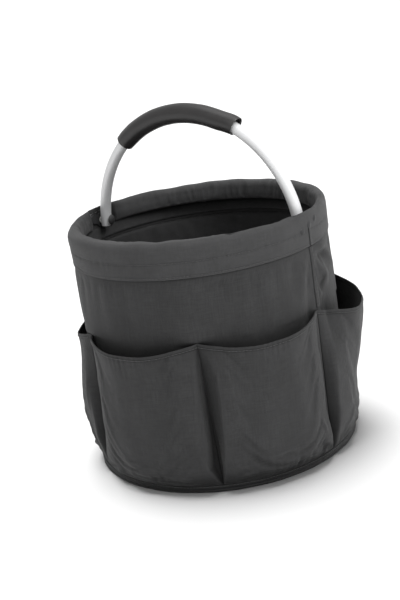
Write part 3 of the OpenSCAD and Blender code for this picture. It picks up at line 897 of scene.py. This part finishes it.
for label, turn in (("right", 0.0), ("left", 180.0)):
    zs = np.linspace(SEAM_Z, BAND_Z - 0.4, 50)
    across = np.array([-3.5, -3.2, -2.2, -1.6, -0.6, 0.6, 1.6, 2.2, 3.2, 3.5])
    lift = np.array([-0.3, 0.2, 0.35, 0.2, 0.5, 0.5, 0.2, 0.35, 0.3, 0.0])
    wander = 0.5 * np.sin(zs / 17.0) + 0.3 * np.sin(zs / 7.3)
    r = wall_r(zs)[:, None] + lift[None, :] + 0.25
    angle = turn + np.degrees((across[None, :] + wander[:, None]) / wall_r(zs)[:, None])
    p = polar(angle, r, zs[:, None])
    obj = sheet(f"cloth_seam_{label}", p, thickness=0.5)
    place(obj, "base", "body_fabric", f"side_seam_{label}", squash=True)
    for k, col in enumerate((3, 6)):  # the two grooves in the tape
        out = outward(angle[:, col])
        stitches(f"thread_seam_{label}_{k}", p[:, col] + out * 0.5, out, "base", squash=True)
    zs = np.linspace(BAND_Z + 0.8, ROLL_Z + 12, 24)
    across = np.array([-2.2, -2.0, -1.2, 0.0, 1.2, 2.0, 2.2])
    lift = np.array([-0.2, 0.5, 0.55, 0.45, 0.55, 0.5, -0.2])
    end = ease((zs[-1] - zs) / 2)[:, None]
    p = polar(turn + np.degrees(across / RIM_R)[None, :], RIM_R + 0.35 + lift[None, :] * end, zs[:, None])
    obj = sheet(f"cloth_band_join_{label}", p, thickness=0.4)
    place(obj, "rim", "body_fabric", finish="band_fabric")

# Edge binding: a folded tape with a cord in its lower edge. Its outer face, as distances inside BASE_R and
# heights:
BINDING_FACE = [(1.6, 0.0), (0.7, 0.3), (0.1, 1.0), (-0.15, 1.9), (0.1, 2.8), (0.6, 3.4), (0.95, 3.7),
                (0.5, 4.1), (0.15, 4.8), (0.05, 5.8), (0.2, 6.8), (0.7, 7.4), (0.5, 7.9), (0.6, 8.5),
                (1.1, 8.9)]
BINDING_STEPS = 480
inner_r = WALL_FOOT_R + 0.2
profile = [(inner_r, 0.5), (inner_r + 0.4, 0.0)]
profile += [(BASE_R - inside, up) for inside, up in BINDING_FACE]
profile += [(inner_r + 0.6, BINDING_H), (inner_r, BINDING_H - 0.5), (inner_r, 6.0), (inner_r, 3.0)]
profile = np.array(profile)
groove = 2 + BINDING_FACE.index((0.7, 7.4))  # the point of the profile that the thread lies at
angles = np.arange(BINDING_STEPS) * 360 / BINDING_STEPS
binding = polar(angles, profile[:, :1], profile[:, 1:])
around = polar(angles, BASE_R, binding[..., 2])
face = (profile[:, 0] > BASE_R - 1.5)[:, None]
ripple = field(around, (7, 7, 5), 51) * 0.25 + field(around, (22, 22, 9), 52) * 0.35
upper = ease((binding[..., 2] - 0.6) / 2)
binding[..., :2] *= (1 + face * ripple / BASE_R)[..., None]
binding[..., 2] += upper * face * (field(around, (12, 12, 30), 53) * 0.35 - 0.1)
place(tube_grid("tape_base_binding", binding, angles, BASE_R), "base", "trim_tape", "base_binding")
out = outward(angles)
stitches("thread_binding", binding[groove] + out * 0.12, out, "base", closed=True)


def disc(name, radius, z_low, thickness, slot_name, node, seed, sag):
    """A round cloth panel with soft dents up to about sag high, its lower face at z_low."""
    rings, steps = 40, 180
    r = np.r_[0.5, np.linspace(4, radius - 1.2, rings - 1)]
    a = np.arange(steps) * 360 / steps
    grid = polar(a[None, :], r[:, None], z_low + thickness / 2)
    dent = np.clip(field(grid, 45, seed) * sag + field(grid, 14, seed + 1) * sag * 0.35, 0, None)
    grid[..., 2] += dent * ease((radius - r) / 25)[:, None]
    faces = grid_faces(rings, steps, closed_u=True)
    faces.append(tuple(reversed(range(steps))))
    obj = add_object(name, grid, faces, grid[..., :2])
    thicken(obj, thickness)
    place(obj, "base", slot_name, node)


disc("cloth_base_cover", WALL_FOOT_R, 0.0, CLOTH, "base_fabric", "base_cover", 61, 0.0)
disc("cloth_base_lining", FLOOR_R, low("base_lining").z, 1.0, "lining_fabric", "base_lining", 63, 1.2)


# ---- grip ----

def grip():
    """Foam sleeve with softly rounded lips, bored wider at each end."""
    lo, hi = low("grip_sleeve"), high("grip_sleeve")
    tube_top = high("handle_tube").z
    outer = (hi.y - lo.y) / 2
    tube_out = (high("handle_tube").y - low("handle_tube").y) / 2
    arch_r = (high("handle_tube").x - low("handle_tube").x) / 2 - tube_out
    arch_z = tube_top - arch_r - tube_out
    right_end = math.degrees(math.acos(hi.x / (arch_r + outer)))
    left_end = math.degrees(math.acos(lo.x / (arch_r + outer)))
    centre_deg, half = (left_end + right_end) / 2, (left_end - right_end) / 2
    lip = outer - 2.2
    deg = 180 / math.pi / arch_r  # degrees in a millimetre along the arch
    # The sleeve's outline as degrees from its middle and a radius: one end, half the body, the mirror of
    # both, and back through the bore
    run = [(-half + 3, tube_out + 0.12), (-half + 3, lip - 0.6), (-half + 2.6, lip)]
    run += [(-half + 1.2, lip), (-half + 0.5 * deg, lip + 0.15)]
    for t in np.linspace(-0.9, 0.5, 5):
        run.append((-half + (1.6 - 1.6 * math.cos(t)) * deg * 0.6, lip + 1.1 + 1.1 * math.sin(t)))
    body = np.r_[1.2, 2.2, 3.6, 5.5, 8, 12, np.linspace(18, half / deg, 16)]
    swell = -0.9 * np.exp(-body / 2.5) - 0.35 * np.exp(-body / 12)
    run += [(-half + b * deg, outer + s) for b, s in zip(body, swell)]
    run += [(-x, r) for x, r in reversed(run[:-1])]
    run += [(half * k, tube_out + 0.12) for k in (0.7, 0.35, 0.0, -0.35, -0.7)]
    run = np.array(run)
    turns = 72
    t = np.arange(turns) * 2 * math.pi / turns
    a = np.radians(centre_deg - run[:, 0])[:, None]
    r = run[:, 1][:, None]
    from_end = (half - run[:, 0])[:, None] / deg
    lean = (lip - tube_out - 0.2) * ease(1 - from_end / 26)
    hub = arch_r + lean
    radial = hub + r * np.cos(t)[None, :]
    p = np.stack([radial * np.cos(a), r * np.sin(t)[None, :] + 0 * a, arch_z + radial * np.sin(a)], -1)
    dents = field(p, 16, 71) * 0.18 + field(p, 5, 72) * 0.05
    outside = (r > lip + 0.5) * 1.0
    spoke = p - np.stack([hub * np.cos(a), 0 * hub, arch_z + hub * np.sin(a)], -1)
    p = p + spoke / np.linalg.norm(spoke, axis=-1, keepdims=True) * (dents * outside)[..., None]
    faces = grid_faces(len(run), turns, closed_u=True, closed_v=True, flip=True)
    place(add_object("foam_grip", p, faces), "handle", "grip_foam", "grip_sleeve")


grip()


# ---- finishes on the CAD's own pieces ----

# Node: its finish and the width its edges are softened by
KEPT = {
    "base_board": ("board", 0.4), "rim_hoop": ("hoop_steel", 0.2), "hoop_joiner": ("hoop_steel", 0.15),
    "handle_tube": ("tube_aluminium", 0.12),
}
for side in ("right", "left"):
    KEPT |= {
        f"pivot_bracket_{side}": ("dark_hardware", 0.3), f"bracket_rivets_{side}": ("dark_hardware", 0.15),
        f"pivot_pin_{side}": ("dark_hardware", 0.2), f"pivot_washers_{side}": ("nylon", 0.1),
        f"foot_plug_{side}": ("plug_plastic", 0.3),
    }
for node, (finish, edge) in KEPT.items():
    obj = NODES[node]
    obj.data.materials.clear()
    obj.data.materials.append(MATERIALS[finish])
    bevel = obj.modifiers.new("edges", "BEVEL")
    bevel.width = edge * MM
    bevel.segments = 2
    bevel.limit_method = "ANGLE"
    bevel.angle_limit = math.radians(40)
    bevel.harden_normals = True
    obj.data.set_sharp_from_angle(angle=math.radians(35))


# ---- stage, light and camera ----

scene = bpy.context.scene
FLOOR_HALF, FLOOR_DROP = 60000, 0.3  # the floor lies just clear of the base
corners = [(x * FLOOR_HALF, y * FLOOR_HALF, -FLOOR_DROP) for x, y in ((-1, -1), (1, -1), (1, 1), (-1, 1))]
floor = add_object("floor", corners, [(0, 1, 2, 3)])
paper = Graph("floor_paper")
paper.set(Base_Color=(0.84, 0.84, 0.84, 1), Roughness=0.9, Specular_IOR_Level=0.1)
floor.data.materials.append(paper.material)

world = bpy.data.worlds.new("studio")
scene.world = world
world.use_nodes = True
tree = world.node_tree
sky = tree.nodes["Background"]
sky.inputs["Color"].default_value = (1, 1, 1, 1)
paths = tree.nodes.new("ShaderNodeLightPath")
strength = 0.37  # what lights the room
for ray, value in (("Is Glossy Ray", 0.72), ("Is Camera Ray", 1.1)):
    step = tree.nodes.new("ShaderNodeMix")  # what metal mirrors, and what shows past the floor
    for socket, source in (("Factor", paths.outputs[ray]), ("A", strength), ("B", value)):
        if isinstance(source, float):
            step.inputs[socket].default_value = source
        else:
            tree.links.new(source, step.inputs[socket])
    strength = step.outputs["Result"]
tree.links.new(strength, sky.inputs["Strength"])
scene.view_settings.view_transform = "Standard"


def light_group(name, state):
    """What a light falls on: the floor alone, or with EXCLUDE all but the floor."""
    group = bpy.data.collections.new(name)
    group.objects.link(floor)
    group.collection_objects[0].light_linking.link_state = state
    return group


def soft_sun(name, azimuth, elevation, strength, spread, falls_on):
    """A large soft light far away. Azimuth is counted round from +X, both angles in degrees."""
    data = bpy.data.lights.new(name, "SUN")
    data.energy = strength
    data.angle = math.radians(spread)
    obj = bpy.data.objects.new(name, data)
    a, e = math.radians(azimuth), math.radians(elevation)
    from_light = Vector((math.cos(a) * math.cos(e), math.sin(a) * math.cos(e), math.sin(e)))
    obj.matrix_world = from_light.to_track_quat("Z", "Y").to_matrix().to_4x4()
    obj.light_linking.receiver_collection = falls_on
    scene.collection.objects.link(obj)


caddy_only, floor_only = light_group("all_but_floor", "EXCLUDE"), light_group("floor_alone", "INCLUDE")
soft_sun("key", 0, 46, 2.2, 32, caddy_only)
soft_sun("top", 60, 82, 1.15, 60, caddy_only)
soft_sun("fill", -78, 36, 0.42, 50, caddy_only)
soft_sun("floor_light", 148, 79, 3.8, 40, floor_only)

# The camera that was fitted to the photo: degrees round from -Y, up and of roll, and metres
CAM_AZIMUTH, CAM_ELEVATION, CAM_ROLL = 37.06, 18.3, 8.44
CAM_DISTANCE, CAM_AIM_Z = 1.522, 0.152
CAM_LENS, CAM_SHIFT = 72.2, (-0.0213, 0.0416)
azimuth, elevation, roll = (math.radians(v) for v in (CAM_AZIMUTH, CAM_ELEVATION, CAM_ROLL))
level = Vector((math.sin(azimuth), -math.cos(azimuth), 0))
towards = level * math.cos(elevation) + Vector((0, 0, math.sin(elevation)))
right = Vector((math.cos(azimuth), math.sin(azimuth), 0))
up = towards.cross(right)
tilted_right = right * math.cos(roll) - up * math.sin(roll)
tilted_up = towards.cross(tilted_right)
camera_data = bpy.data.cameras.new("camera")
camera_data.lens = CAM_LENS
camera_data.shift_x, camera_data.shift_y = CAM_SHIFT
camera = bpy.data.objects.new("camera", camera_data)
pose = Matrix((tilted_right, tilted_up, towards)).transposed().to_4x4()
camera.matrix_world = Matrix.Translation(Vector((0, 0, CAM_AIM_Z)) + towards * CAM_DISTANCE) @ pose
scene.collection.objects.link(camera)
scene.camera = camera
